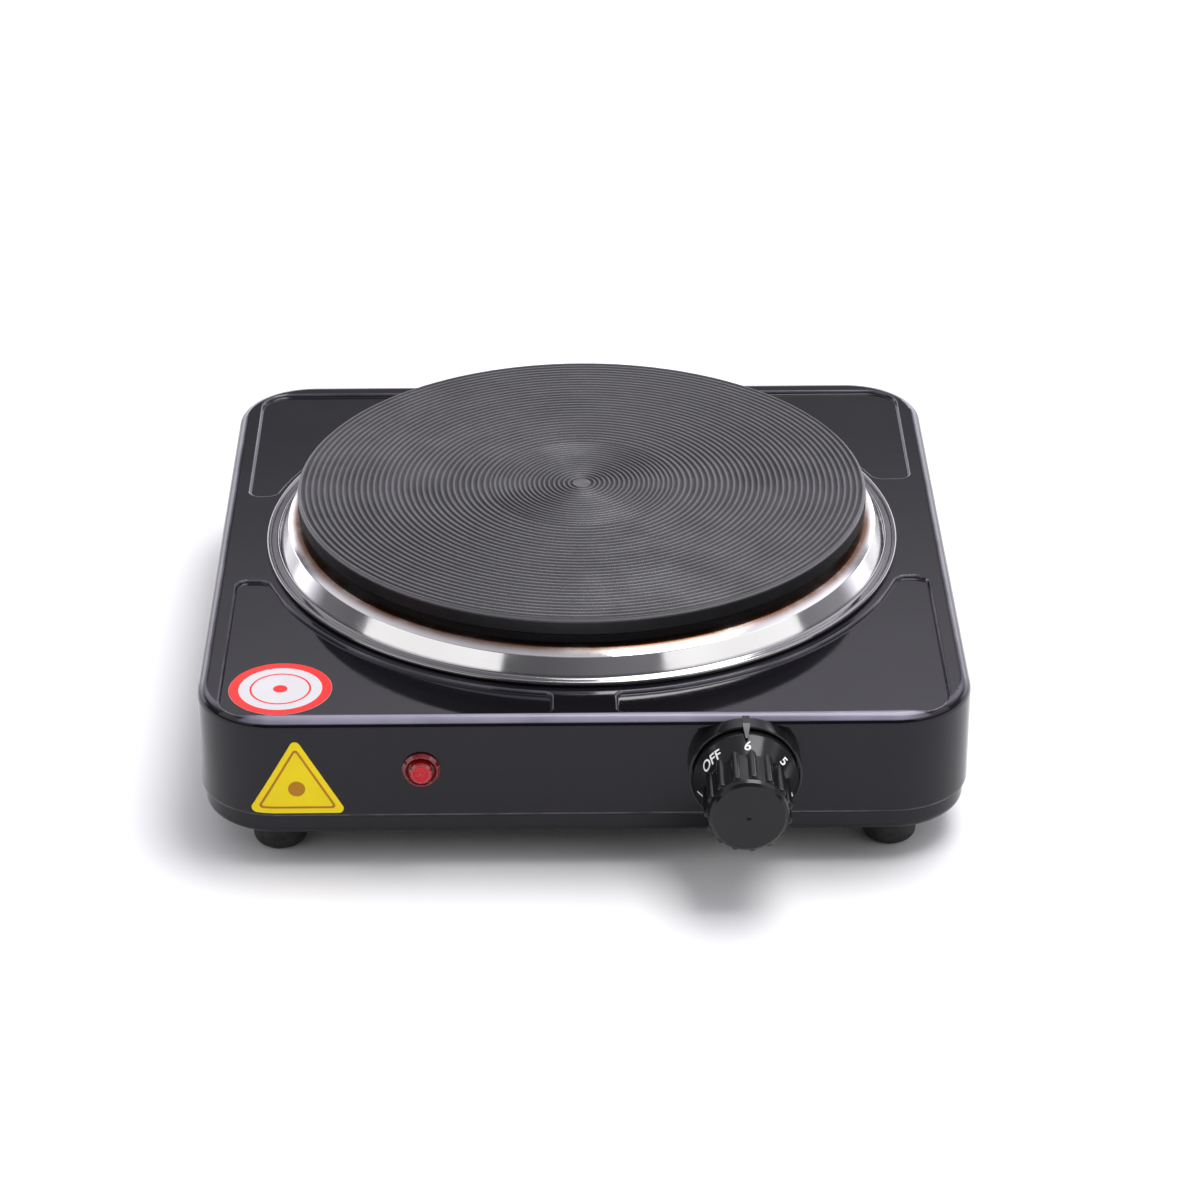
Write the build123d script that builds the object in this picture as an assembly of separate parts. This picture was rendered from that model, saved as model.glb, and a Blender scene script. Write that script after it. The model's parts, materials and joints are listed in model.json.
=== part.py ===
from build123d import *
import math
import os

# Single electric hot plate on a pressed steel body. Millimetres, +Z up.
# Everything is laid out about the plate's vertical axis, with z = 0 on the floor. At the end the
# model is shifted in y, so that the origin is under the middle of the whole object.

# ---------------------------------------------------------------- driving dimensions
body_width = 237.0
body_depth = 235.0
plate_setback = 4.0            # plate axis behind the middle of the body
foot_height = 11.0
band_height = 7.4              # visible part of the base tray
shell_height = 33.6            # pressed housing, from its lower edge to its flat top
plate_rise = 18.0              # cooking surface above the flat top
corner_radius = 25.0
top_edge_radius = 3.5
sheet = 0.8
fit_gap = 0.3                  # gap between nested shells
contact_gap = 0.05             # gap between parts that touch across a joint
screw_play = 0.05              # radial play of screws, pins and shafts in their holes
loose_play = 0.3               # radial play in clearance holes
cut_past = 1.0                 # how far a cutting tool runs past the faces it cuts

plate_radius = 92.5
plate_rim_height = 6.0
plate_edge = 0.8               # bevel round the plate's rim
plate_step = 1.9               # rim's overhang past the step below it
plate_core_step = 4.7          # rim's overhang past the plate's core
plate_depth = 14.5
plate_step_bevel = 0.6         # height of the bevel under the rim
lip_rise = 8.6                 # trim ring's inner lip above the flat top
groove_pitch = 2.0
inner_groove_pitch = 1.6
inner_groove_zone = 29.0
groove_depth = 0.32
groove_half_share = 0.42       # half of a groove's mouth, as a share of the pitch
coil_inset = 17.8              # outer coil from the core's edge
coil_pitch = 24.0
coil_wire_radius = 2.0
channel_width = 16.0
channel_depth = 9.0
hollow_rib = 6.0               # rib between the inner channel and the unheated middle
coil_gap_angle = 8.0           # half of the gap between a coil's two ends, in degrees

ring_spread = 10.6             # trim ring's rolled edge outside the plate's rim
ring_bead_radius = 0.9
ring_sheet = 0.5
ring_foot_rise = 1.0           # upper face of the ring's flat foot above the flat top
ring_lip_start = 0.5           # lip's inner edge outside the plate's core
ring_lip_end = 0.4             # lip's bend outside the plate's rim
ring_crease = 3.2              # crease between the two bands, outside the plate's rim
ring_crease_rise = 6.4
ring_skirt_end = 6.6           # lower band's end outside the plate's rim
ring_bends = (1.6, 0.5, 1.4)
opening_margin = 3.5           # housing's opening outside the plate's rim
opening_flange = 2.4

panel_margin = 7.2             # side and rear rim of the recessed panels
panel_front_margin = 3.8
panel_depth = 1.2
panel_ring_gap = 2.4           # panels' round edge outside the trim ring
panel_corner_radius = 10.0
panel_half_gap = 9.5           # half of the bridge between the two front panels
panel_rear_half_gap = 48.0
panel_front_end = -31.7        # rear ends of the two front panels
panel_left_end = 27.0          # front ends of the two rear panels
panel_right_end = 37.0
panel_end_radius = 4.5
panel_gap_radius = 2.8
panel_edge_radius = 0.6

foot_radius = 8.3
foot_inset_x = 24.1
foot_inset_y = 17.0

knob_x = 48.3
control_drop = 17.4            # knob and lamp axes below the flat top
knob_reach = 29.4
knob_skirt_radius = 15.9
knob_grip_radius = 13.3
knob_face_radius = 11.7
knob_flutes = 15
hub_wall = 2.6
hub_start = 5.6                # rear end of the knob's hub, in front of the body
hub_end = 24.0
spindle_flat = 1.5             # spindle axis to its flat
clip_sheet = 0.4
circlip_sheet = 0.6
clip_half_width = 1.5
clip_play = 0.1
hub_slot_wall = 0.8            # hub's wall outside the clip's slot
spindle_gap = 0.6              # spindle's end to the end of the knob's bore
spindle_chamfer = 0.4
circlip_half_gap = 1.6
pointer_width = 2.2
bush_nut_height = 2.4
bush_flange = 3.0
knob_wall = 1.6
bezel_gap = 0.6                # knob's skirt to the collar round it
bezel_wall = 0.7
bezel_height = 5.5
bezel_floor = 1.2
pointer_reach = 4.3            # pointer's tip in front of the collar
skirt_height = 7.8             # front end of the knob's straight skirt
grip_start = 13.6              # front end of the cone between skirt and grip
knob_cap = 2.6                 # thickness of the knob's front wall
rib_radius = 1.45
rib_proud = 0.9                # ribs' stand above the grip
rib_start = 9.8
spindle_radius = 3.0
bush_wall = 2.0
bush_proud = 0.8               # bush's end in front of its nut
circlip_proud = 1.4
circlip_bite = 0.5             # depth of the circlip's groove
nut_land = 4.0                 # hexagons' width across flats beyond the bush's diameter
slide_pin_radius = 1.5
pin_travel = 0.8               # over the knob's whole turn
bimetal_gap = 2.5              # bimetal strip behind the fully lifted contact arm
bracket_lap_gap = 0.7          # bracket's lower edge above the base tray's wall
bracket_overhang = 8.0
leaf_half_width = 4.0
leaf_overhang = 3.0
contact_radius = 2.4
rivet_head = 1.5
hinge_gap = 0.2
bracket_thickness = 1.5
leaf_sheet = 0.5
bimetal_sheet = 0.8
contact_height = 1.7
rivet_radius = 1.5
stack_offset = 22.0            # ceramic stack's axis from the spindle's
stack_radius = 5.0
contact_offset = 12.0
tab_reach = 14.0

lamp_x = -49.6
lamp_barrel_radius = 4.2
lamp_flange = 1.6              # flange's width outside the barrel
lamp_dome_step = 0.6           # dome's edge inside the barrel
lamp_wall = 0.9
lamp_retainer_width = 2.8
lamp_reach = 3.4
lamp_length = 11.0

gland_x = -60.0
gland_bore_radius = 3.6
gland_radius = 8.5
gland_neck_radius = 6.0
gland_reach = 6.0
gland_tail = 5.0
gland_inner_flange = 2.0
gland_outer_flange = 2.6
gland_inner_step = 0.5         # inner flange's radius within the outer one's
gland_tube_step = 0.6          # tube's radius within the neck's
gland_rounding = 1.0

screw_radius = 2.0
screw_head_radius = 3.5
screw_head_height = 2.4
screw_head_rounding = 0.8
screw_head_play = 0.4
cross_half_length = 2.4        # cross slot in the head
cross_half_width = 0.5
cross_depth = 1.1
foot_recess = 6.0
foot_rounding = 3.1
screw_end = 5.0                # foot screw's end above the bracket's foot
tray_lap = 8.0                 # base tray's wall inside the housing
tray_edge_radius = 2.5
bracket_sheet = 1.2
bracket_lift = 0.1             # bracket's foot above the base tray's floor
bracket_foot = 8.0             # radius of the bracket's foot round the screw
bracket_width = 12.0
bracket_weld = 13.0            # height of the strip welded to the wall
bracket_step = 2.0             # bracket's upstand to the base tray's wall, and strip to corner
vent_columns = 4
vent_pitch = 16.0
vent_rows = (-60.0, -12.0)
vent_length = 34.0
vent_width = 5.0

cover_sheet = 0.6
cover_inset = 1.5              # cover's edge inside the plate's core
pin_insulation = 0.8           # gap round the live pins and sleeves
boss_radius = 12.0
stud_radius = 3.0
stud_depth = 9.0
stud_end_gap = 0.5             # stud's end to the end of its hole
pin_radius = 1.2
sleeve_radius = 2.6
link_sheet = 1.0
bridge_sheet = 1.5
bridge_width = 22.0
bridge_reach = 11.0            # bridge's ends outside the housing's opening
bridge_pad = 5.0               # length of the flat ends
bridge_joggle = 4.0
bridge_arm_gap = 1.0           # arms below the opening's flange
bridge_hub = 16.0              # half of the flat middle
bridge_slope = 8.0
bridge_drop = 7.5              # middle of the bridge below the flat top
shield_sheet = 0.5
shield_inset = 3.8             # shield's edge inside the plate's core
shield_rim = 5.0
washer_sheet = 1.0
washer_radius = 8.0
stud_nut_height = 5.2
stud_nut_across = 10.0
stud_end = 6.0                 # stud's end below its nut
pin_length = 14.0              # coil pins below the cover
ceramic_height = 12.0
ceramic_margin = 6.0
ceramic_corner = 2.0
ceramic_gap = 2.0              # heat shield's cut round the ceramic block
sleeve_depth = 8.0             # sleeves' upper ends below the block's top

pole_pitch = 11.0
clamp_radius = 2.6
clamp_wall = 1.1
clamp_screw_radius = 1.5
clamp_screw_pitch = 4.5        # clamp screws from the block's middle, along y
pole_height = 6.0              # clamp axes above the tray's floor
block_half_length = 18.0
block_half_width = 8.0
block_height = 15.0
block_screw_seat = 9.0
block_screw_radius = 1.5
block_head_radius = 2.9
block_head_height = 2.0
block_corner = 1.5
block_inset = 52.0             # terminal block's middle from the rear face
earth_inset = 62.0
earth_offset = 45.0            # earth screw's distance from the gland's axis, along x
tag_half_width = 4.0
tag_sheet = 0.8
earth_head_height = 3.0
earth_head_across = 7.0
tag_length = 12.0

lead_radius = 1.1
lead_start = 6.3               # leads' ends in the clamps, from the block's middle
label_thickness = 0.15
label_x = -87.5
label_width = 30.4             # before its corners are rounded
label_height = 26.6
label_corner = 1.6
label_rise = 1.1               # label's lower edge above the seam
panel_label_x = -92.8
panel_label_y = -100.4
panel_label_radius = 15.8

# ---------------------------------------------------------------- derived places
front_face = -(body_depth / 2 + plate_setback)
rear_face = body_depth / 2 - plate_setback
side_face = body_width / 2
body_middle = (front_face + rear_face) / 2
z_base = foot_height
z_seam = z_base + band_height
z_top = z_seam + shell_height
z_plate = z_top + plate_rise
z_under = z_plate - plate_depth
z_control = z_top - control_drop
z_floor = z_base + sheet
front_inner = front_face + sheet
rear_inner = rear_face - sheet
bracket_z = z_floor + bracket_lift
bridge_z = z_top - bridge_drop
nut_z = bridge_z - shield_sheet - washer_sheet - stud_nut_height
pin_end = z_under - cover_sheet - pin_length
link_z = pin_end + 0.9
bush_radius = spindle_radius + bush_wall
hub_radius = spindle_radius + hub_wall
bush_hexagon = 2 * bush_radius + nut_land
bezel_radius = knob_skirt_radius + bezel_gap + bezel_wall
grip_radius = knob_grip_radius - rib_proud
tray_top = z_seam + tray_lap
bracket_half_height = z_control - tray_top - bracket_lap_gap
bracket_rear = front_inner + bracket_thickness
bush_rear = bracket_rear + bush_flange
spindle_end = front_inner + 2.0
bush_front = front_face - bezel_floor - bush_nut_height - bush_proud
circlip_y = bush_front - circlip_sheet - fit_gap
fixed_y = bush_rear + 5.5
arm_y = fixed_y + leaf_sheet + 2 * contact_height + contact_gap
stack_x = knob_x - stack_offset
hinge_x = stack_x + stack_radius + 2 * hinge_gap
contact_x = knob_x + contact_offset
arm_end = contact_x + leaf_overhang
arm_lift = pin_travel * (arm_end - hinge_x) / (knob_x - hinge_x)
bimetal_y = arm_y + leaf_sheet + arm_lift + bimetal_gap
stack_end = bimetal_y + bimetal_sheet + 2.5
lamp_flange_radius = lamp_barrel_radius + lamp_flange
lamp_dome_radius = lamp_barrel_radius - lamp_dome_step
lamp_lead_y = front_face + lamp_length + 4.0
block_y = rear_face - block_inset
z_pole = z_floor + pole_height
earth_x = gland_x + earth_offset
earth_y = rear_face - earth_inset
block_screw_places = [(gland_x - pole_pitch / 2, block_y), (gland_x + pole_pitch / 2, block_y)]
plate_step_radius = plate_radius - plate_step
plate_core_radius = plate_radius - plate_core_step
outer_coil_radius = plate_core_radius - coil_inset
coil_radii = (outer_coil_radius - coil_pitch, outer_coil_radius)
hollow_radius = coil_radii[0] - channel_width / 2 - hollow_rib
ring_radius = plate_radius + ring_spread
opening_radius = plate_radius + opening_margin
panel_ring_radius = ring_radius + panel_ring_gap
shield_radius = plate_core_radius - shield_inset
shift_y = -(front_face - knob_reach + rear_face + gland_reach) / 2
foot_places = [
    (sx * (side_face - foot_inset_x), y)
    for sx in (-1, 1)
    for y in (front_face + foot_inset_y, rear_face - foot_inset_y)
]


# ---------------------------------------------------------------- helpers
def block(x0, x1, y0, y1, z0, z1):
    """Axis-aligned box between two corners."""
    return Pos((x0 + x1) / 2, (y0 + y1) / 2, (z0 + z1) / 2) * Box(x1 - x0, y1 - y0, z1 - z0)


def post(x, y, z0, z1, radius):
    """Vertical cylinder."""
    return Pos(x, y, (z0 + z1) / 2) * Cylinder(radius, z1 - z0)


def rod_y(x, z, y0, y1, radius):
    """Cylinder along y."""
    return Pos(x, (y0 + y1) / 2, z) * Rot(90, 0, 0) * Cylinder(radius, y1 - y0)


def hexagon_y(x, z, y0, y1, across):
    """Hexagonal prism along y."""
    outline = RegularPolygon(across / 2, 6, major_radius=False)
    return extrude(Plane(origin=(x, y0, z), x_dir=(1, 0, 0), z_dir=(0, 1, 0)) * outline, y1 - y0)


def hexagon_z(x, y, z0, z1, across):
    """Hexagonal prism along z."""
    return Pos(x, y, z0) * extrude(RegularPolygon(across / 2, 6, major_radius=False), z1 - z0)


def turned_z(points):
    """Solid of revolution about the plate axis from (radius, z) points."""
    return revolve(make_face(Plane.XZ * Polyline(*points, close=True)), Axis.Z)


def tray_block(inset, z0, z1, edge, top=True):
    """Rounded block that follows the body's plan, its top or bottom edges rounded."""
    outline = RectangleRounded(body_width - 2 * inset, body_depth - 2 * inset, corner_radius - inset)
    solid = Pos(0, body_middle, z0) * extrude(outline, z1 - z0)
    faces = solid.faces().sort_by(Axis.Z)
    return fillet((faces[-1] if top else faces[0]).edges(), edge)


def joined(*shapes):
    """Group of separate solids in one node."""
    return Compound([solid for shape in shapes for solid in shape.solids()])


def bend_radii(points):
    """Bend radius at each inner point: as large as its two runs allow."""
    radii = []
    for before, corner, after in zip(points, points[1:], points[2:]):
        run_in = Vector(*corner) - Vector(*before)
        run_out = Vector(*after) - Vector(*corner)
        half_turn = math.radians(run_in.get_angle(run_out)) / 2
        radii.append(0.45 * min(run_in.length, run_out.length) / math.tan(half_turn))
    return radii


def lead(points):
    """Insulated lead along straight runs joined by tangent bends."""
    path = FilletPolyline(*points, radius=bend_radii(points))
    section = Plane(origin=path @ 0, z_dir=path % 0) * Circle(lead_radius)
    return sweep(section, path)


# ---------------------------------------------------------------- housing and base
def panel_outline(sx, rear, end):
    """Outline of one recessed corner panel: square outside, round beside the trim ring."""
    outer_x = side_face - panel_margin
    outer_y = rear_face - panel_margin if rear else front_face + panel_front_margin
    half_gap = panel_rear_half_gap if rear else panel_half_gap
    low, high = sorted((outer_y, end))
    frame = Rectangle(outer_x - half_gap, high - low)
    outline = Pos((outer_x + half_gap) / 2, (low + high) / 2) * frame - Circle(panel_ring_radius)
    at_corner = [v for v in outline.vertices() if abs(v.X - outer_x) + abs(v.Y - outer_y) < 0.01]
    outline = fillet(at_corner, panel_corner_radius)
    at_side_end = [v for v in outline.vertices() if abs(v.Y - end) < 0.01]
    outline = fillet(at_side_end, panel_end_radius)
    at_gap = [v for v in outline.vertices() if abs(v.X - half_gap) < 0.01]
    outline = fillet(at_gap, panel_gap_radius)
    return outline if sx > 0 else mirror(outline, Plane.YZ)


def panel_outlines():
    return [
        panel_outline(-1, False, panel_front_end),
        panel_outline(1, False, panel_front_end),
        panel_outline(-1, True, panel_left_end),
        panel_outline(1, True, panel_right_end),
    ]


def recess(outline, z, wall_offset):
    """Tool for one recessed panel: sloping walls, rounded where they meet the panel."""
    tool = extrude(offset(outline, wall_offset) if wall_offset else outline, -panel_depth, taper=30)
    floor = tool.faces().sort_by(Axis.Z)[0]
    return Pos(0, 0, z) * fillet(floor.edges(), panel_edge_radius)


def make_housing():
    outer = tray_block(0, z_seam, z_top, top_edge_radius)
    inner = tray_block(sheet, z_seam, z_top - sheet, top_edge_radius - sheet)
    for outline in panel_outlines():
        outer -= recess(outline, z_top, 0)
        rim = [
            edge
            for edge in outer.edges()
            if edge.bounding_box().min.Z > z_top - 1e-3
            and min((edge.center() - e.center()).length for e in (Pos(0, 0, z_top) * outline).edges()) < 1e-3
        ]
        outer = fillet(rim, panel_edge_radius)
        inner -= recess(outline, z_top - sheet, sheet)
    shell = outer - inner
    flange_z = z_top - sheet - opening_flange
    shell += post(0, 0, flange_z, z_top - sheet, opening_radius + sheet)
    shell -= post(0, 0, flange_z - 1, z_top + 1, opening_radius)
    shell -= rod_y(knob_x, z_control, front_face - 1, front_inner + 1, bush_radius + screw_play)
    shell -= rod_y(lamp_x, z_control, front_face - 1, front_inner + 1, lamp_barrel_radius + screw_play)
    shell -= rod_y(gland_x, z_control, rear_inner - 1, rear_face + 1, gland_neck_radius + screw_play)
    return shell


def make_base_tray():
    inset = sheet + fit_gap
    tray = tray_block(inset, z_base, tray_top, tray_edge_radius, top=False)
    tray -= tray_block(inset + sheet, z_floor, tray_top + 1, tray_edge_radius - sheet, top=False)
    for x, y in foot_places:
        tray -= post(x, y, z_base - cut_past, z_floor + cut_past, screw_radius + loose_play)
    slot = extrude(SlotOverall(vent_length, vent_width, rotation=90), 4)
    for row in vent_rows:
        for column in range(-vent_columns, vent_columns + 1):
            tray -= Pos(column * vent_pitch, row, z_base - 1) * slot
    for x, y in block_screw_places:
        tray -= post(x, y, z_base - 1, z_floor + 1, block_screw_radius + screw_play)
    return tray


def make_feet():
    feet = []
    for x, y in foot_places:
        foot = post(x, y, 0, foot_height, foot_radius)
        foot = fillet(foot.faces().sort_by(Axis.Z)[0].edges(), foot_rounding)
        foot -= post(x, y, -cut_past, foot_recess, screw_head_radius + screw_head_play)
        foot -= post(x, y, -cut_past, foot_height + cut_past, screw_radius + loose_play)
        feet.append(foot)
    return joined(*feet)


def make_foot_screws():
    screws = []
    for x, y in foot_places:
        head = post(x, y, foot_recess - screw_head_height, foot_recess, screw_head_radius)
        head = fillet(head.faces().sort_by(Axis.Z)[0].edges(), screw_head_rounding)
        slot_z = foot_recess - screw_head_height
        z0, z1 = slot_z - cut_past, slot_z + cross_depth
        for half_x, half_y in ((cross_half_length, cross_half_width), (cross_half_width, cross_half_length)):
            head -= block(x - half_x, x + half_x, y - half_y, y + half_y, z0, z1)
        screws.append(head + post(x, y, foot_recess, bracket_z + screw_end, screw_radius))
    return joined(*screws)


def make_corner_brackets():
    """Z-shaped strips welded to the side walls; the foot screws cut into their feet."""
    brackets = []
    wall = side_face - sheet
    upstand = wall - fit_gap - sheet - bracket_step
    joggle_z = tray_top + bracket_step
    for x, y in foot_places:
        sx = 1 if x > 0 else -1
        sy = 1 if y > body_middle else -1
        edge = rear_face if sy > 0 else front_face
        near = edge - sy * (corner_radius + bracket_step)
        y0, y1 = sorted((near, near - sy * bracket_width))
        x0, foot_top = abs(x) - bracket_foot, bracket_z + bracket_sheet
        t0, t1 = sorted((y, near))
        strip = block(wall - bracket_sheet, wall, y0, y1, joggle_z, joggle_z + bracket_weld)
        strip += block(upstand - bracket_sheet, wall, y0, y1, joggle_z, joggle_z + bracket_sheet)
        strip += block(upstand - bracket_sheet, upstand, y0, y1, bracket_z, joggle_z + bracket_sheet)
        strip += block(x0, upstand, y0, y1, bracket_z, foot_top)
        strip += block(x0, abs(x) + bracket_foot, t0, t1, bracket_z, foot_top)
        strip += post(abs(x), y, bracket_z, foot_top, bracket_foot)
        strip -= post(abs(x), y, bracket_z - 1, bracket_z + 4, screw_radius + screw_play)
        brackets.append(strip if sx > 0 else mirror(strip, Plane.YZ))
    return joined(*brackets)


# ---------------------------------------------------------------- plate and ring
def make_hot_plate():
    rim_z = z_plate - plate_rim_height
    lip_z = z_top + lip_rise
    edge = plate_edge
    groove_radii = [plate_radius - edge - groove_pitch / 2]
    while groove_radii[-1] - groove_pitch > inner_groove_zone:
        groove_radii.append(groove_radii[-1] - groove_pitch)
    outer_count = len(groove_radii)
    while groove_radii[-1] - inner_groove_pitch > 1.5 * inner_groove_pitch:
        groove_radii.append(groove_radii[-1] - inner_groove_pitch)
    profile = []
    for count, radius in enumerate(groove_radii):
        half = groove_half_share * (groove_pitch if count < outer_count else inner_groove_pitch)
        profile += [(radius + half, z_plate), (radius, z_plate - groove_depth), (radius - half, z_plate)]
    profile += [(0, z_plate), (0, z_under)]
    profile += [(plate_core_radius, z_under), (plate_core_radius, lip_z)]
    profile += [(plate_step_radius, lip_z), (plate_step_radius, rim_z - plate_step_bevel)]
    profile += [(plate_radius - edge, rim_z), (plate_radius, rim_z + edge)]
    profile += [(plate_radius, z_plate - edge), (plate_radius - edge, z_plate)]
    plate = turned_z(profile)
    for radius in coil_radii:
        plate -= channel(radius)
    plate -= post(0, 0, z_under - 1, z_under + channel_depth, hollow_radius)
    plate += post(0, 0, z_under - cover_sheet, z_under + channel_depth, boss_radius)
    plate -= post(0, 0, z_under - 2, z_under + stud_depth, stud_radius + screw_play)
    return plate


def channel(radius):
    """Annular channel in the plate's underside."""
    ring = post(0, 0, z_under, z_under + channel_depth, radius + channel_width / 2)
    return ring - post(0, 0, z_under - 1, z_under + channel_depth + 1, radius - channel_width / 2)


def coil_pins(radius):
    """Where a coil's two ends turn down towards the terminal block."""
    angles = [math.radians(-90 - side * coil_gap_angle) for side in (1, -1)]
    return [(radius * math.cos(a), radius * math.sin(a)) for a in angles]


def make_coil(radius):
    z = z_under + channel_depth / 2
    sweep_angle = 360 - 2 * coil_gap_angle
    arc = Plane.XY.offset(z) * CenterArc((0, 0), radius, -90 + coil_gap_angle, sweep_angle)
    coil = sweep(Plane(origin=arc @ 0, z_dir=arc % 0) * Circle(coil_wire_radius), arc)
    for x, y in coil_pins(radius):
        coil += post(x, y, pin_end, z, pin_radius)
        coil += Pos(x, y, z) * Sphere(coil_wire_radius)
    return coil


def make_insulation():
    rings = []
    for radius in coil_radii:
        rings.append(channel(radius) - make_coil(radius))
    return joined(*rings)


def make_plate_cover():
    cover = post(0, 0, z_under - cover_sheet, z_under, plate_core_radius - cover_inset)
    cover -= post(0, 0, z_under - 2, z_under + 1, boss_radius + loose_play)
    for radius in coil_radii:
        for x, y in coil_pins(radius):
            cover -= post(x, y, z_under - 2, z_under + 1, pin_radius + pin_insulation)
    return cover


def make_trim_ring():
    """Bright ring: flat lip under the plate, two sloping bands, a flat foot and a rolled edge."""
    lip_z = z_top + lip_rise - ring_sheet / 2
    foot_z = z_top + ring_foot_rise - ring_sheet / 2
    bead = ring_radius - ring_bead_radius
    points = [
        (plate_core_radius + ring_lip_start, lip_z),
        (plate_radius + ring_lip_end, lip_z),
        (plate_radius + ring_crease, z_top + ring_crease_rise),
        (plate_radius + ring_skirt_end, foot_z),
        (bead, foot_z),
    ]
    path = FilletPolyline(*points, radius=list(ring_bends))
    rolled_edge = Pos(bead, z_top + ring_bead_radius) * Circle(ring_bead_radius)
    section = Plane.XZ * (trace(path, ring_sheet) + rolled_edge)
    return revolve(section, Axis.Z)


def make_plate_stud():
    return post(0, 0, nut_z - stud_end, z_under + stud_depth - stud_end_gap, stud_radius)


def make_clamp_bridge():
    """Joggled strip across the opening: its ends press up under the housing top."""
    under_top = z_top - sheet
    arm_z = under_top - opening_flange - bridge_arm_gap - bridge_sheet
    end = -opening_radius - bridge_reach
    points = [
        (end, under_top - bridge_sheet),
        (end + bridge_pad, under_top - bridge_sheet),
        (end + bridge_pad + bridge_joggle, arm_z),
        (-bridge_hub - bridge_slope, arm_z),
        (-bridge_hub, bridge_z),
    ]
    points += [(-x, z) for x, z in reversed(points)]
    upper = [(x, z + bridge_sheet) for x, z in reversed(points)]
    outline = make_face(Plane.XZ * Polyline(*points, *upper, close=True))
    bridge = extrude(outline, bridge_width / 2, both=True)
    return bridge - post(0, 0, 0, z_top, stud_radius + loose_play)


def make_heat_shield():
    shield = post(0, 0, bridge_z - shield_sheet, bridge_z, shield_radius)
    rim = post(0, 0, bridge_z - shield_sheet - shield_rim, bridge_z, shield_radius)
    rim -= post(0, 0, 0, bridge_z, shield_radius - shield_sheet)
    shield += rim
    shield -= post(0, 0, 0, z_top, stud_radius + loose_play)
    x0, x1, y0, y1 = terminal_block_plan(ceramic_gap)
    return shield - block(x0, x1, y0, y1, 0, z_top)


def terminal_block_plan(margin):
    """Plan of the ceramic block under the plate: it covers all four coil pins."""
    half = coil_radii[-1] * math.sin(math.radians(coil_gap_angle)) + ceramic_margin
    front = -coil_radii[-1] - ceramic_margin
    rear = -coil_radii[0] + ceramic_margin + 1
    return -half - margin, half + margin, front - margin, rear + margin


def make_plate_terminal_block():
    x0, x1, y0, y1 = terminal_block_plan(0)
    top = z_under - cover_sheet
    body = block(x0, x1, y0, y1, top - ceramic_height, top)
    body = fillet(body.edges().filter_by(Axis.Z), ceramic_corner)
    for radius in coil_radii:
        for x, y in coil_pins(radius):
            body -= post(x, y, 0, top + 1, pin_radius + screw_play)
            body -= post(x, y, 0, top - sleeve_depth, sleeve_radius + pin_insulation)
    return body


def make_plate_terminals():
    """Brass sleeves crimped on the four coil pins."""
    top = z_under - cover_sheet
    sleeves = []
    for radius in coil_radii:
        for x, y in coil_pins(radius):
            sleeve = post(x, y, pin_end, top - sleeve_depth, sleeve_radius)
            sleeves.append(sleeve - post(x, y, 0, z_top, pin_radius + screw_play))
    return joined(*sleeves)


def make_stud_washer():
    washer = post(0, 0, nut_z + stud_nut_height, bridge_z - shield_sheet, washer_radius)
    return washer - post(0, 0, 0, z_top, stud_radius + loose_play)


def make_stud_nut():
    nut = hexagon_z(0, 0, nut_z, nut_z + stud_nut_height, stud_nut_across)
    return nut - post(0, 0, 0, z_top, stud_radius + screw_play)


# ---------------------------------------------------------------- control: thermostat and knob
def turned_front(x, points):
    """Solid of revolution about a front panel axis from (radius, distance in front) points."""
    solid = revolve(make_face(Plane.XZ * Polyline(*points, close=True)), Axis.Z)
    return front_plane(x).location * solid


def front_plane(x):
    """Plane on the front face: its z points out of the face and its y points up."""
    return Plane(origin=(x, front_face, z_control), x_dir=(1, 0, 0), z_dir=(0, -1, 0))


def make_bezel():
    """Fixed collar round the knob, with the pointer finger on top."""
    inner = bezel_radius - bezel_wall
    hole = bush_radius + screw_play
    profile = [(hole, 0), (bezel_radius, 0), (bezel_radius, bezel_height - 0.3)]
    profile += [(bezel_radius - 0.3, bezel_height), (inner, bezel_height)]
    profile += [(inner, bezel_floor), (hole, bezel_floor)]
    collar = turned_front(knob_x, profile)
    tip_reach = bezel_height + pointer_reach
    finger = [(inner + 0.1, 0.5), (bezel_radius + 1.1, 0.5), (bezel_radius + 1.1, bezel_height - 0.6)]
    finger += [(bezel_radius + 0.4, bezel_height + 1), (inner - 0.5, tip_reach), (inner - 0.9, tip_reach)]
    finger += [(inner - 0.15, bezel_height + 1.8)]
    side = Plane(origin=(knob_x, front_face, z_control), x_dir=(0, 0, 1), z_dir=(1, 0, 0))
    pointer = extrude(side * make_face(Polyline(*finger, close=True)), pointer_width / 2, both=True)
    taper = Plane(origin=(knob_x, front_face, z_control), x_dir=(1, 0, 0), z_dir=(0, 0, 1))
    half = pointer_width / 2
    shape = [(-half, 0.5), (half, 0.5), (half, -bezel_height), (0.35, -tip_reach), (-0.35, -tip_reach)]
    shape += [(-half, -bezel_height)]
    wedge = extrude(taper * make_face(Polyline(*shape, close=True)), bezel_radius + 3)
    return collar + (pointer & wedge)


def knob_outside():
    """Skirt, cone, grip and rounded front edge, from (radius, distance in front) points."""
    rear, skirt, face = bezel_floor + 2.0, knob_skirt_radius, knob_face_radius
    return [
        (0, rear),
        (skirt, rear),
        (skirt, skirt_height),
        (skirt - 0.5, skirt_height + 0.8),
        (grip_radius, grip_start),
        (face + 0.5, knob_reach - 2.0),
        (face, knob_reach - 0.9),
        (face - 0.9, knob_reach - 0.25),
        (0, knob_reach),
    ]


def knob_inside():
    """Hollow behind the skirt, cone and grip."""
    rear, skirt, grip = bezel_floor + 2.0, knob_skirt_radius - knob_wall, grip_radius - knob_wall
    cap = knob_reach - knob_cap
    points = [(0, rear), (skirt, rear), (skirt, skirt_height + 0.2), (grip, grip_start - 0.4)]
    return points + [(grip, cap), (0, cap)]


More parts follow.
